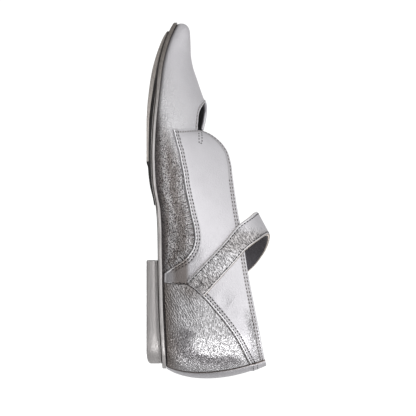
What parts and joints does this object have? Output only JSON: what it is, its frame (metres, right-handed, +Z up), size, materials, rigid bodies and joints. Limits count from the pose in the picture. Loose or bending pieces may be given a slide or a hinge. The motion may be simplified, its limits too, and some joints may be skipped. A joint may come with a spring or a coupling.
{
  "type": "pointed ankle-strap flat shoe",
  "caption": "Pointed-toe flat leather shoe with ankle-high open-front quarters, a keyhole throat, a strap over the instep and a low block heel.",
  "frame": {"origin": "centre of the shoe's box, on the floor that it stands on", "axes": "+X towards the toe, +Y towards the outer side of the foot, +Z up"},
  "size_m": [0.264, 0.0762, 0.0919],
  "materials": {
    "crackled_leather": "crackled metallic silver foil",
    "smooth_leather": "smooth metallic silver foil",
    "lining": "matte charcoal",
    "sole_edge": "grey-silver painted edge",
    "tread": "matte black",
    "half_sole": "matte pinkish grey"
  },
  "bodies": {
    "root": {"upper": "crackled_leather", "quarter_lateral": "smooth_leather", "quarter_medial": "smooth_leather", "counter_lateral": "crackled_leather", "counter_medial": "crackled_leather", "back_strip": "smooth_leather", "throat_binding": "smooth_leather", "strap": "crackled_leather", "insole": "lining", "outsole": "sole_edge", "tread_layer": "tread", "half_sole": "half_sole", "heel": "sole_edge"}
  },
  "joints": []
}
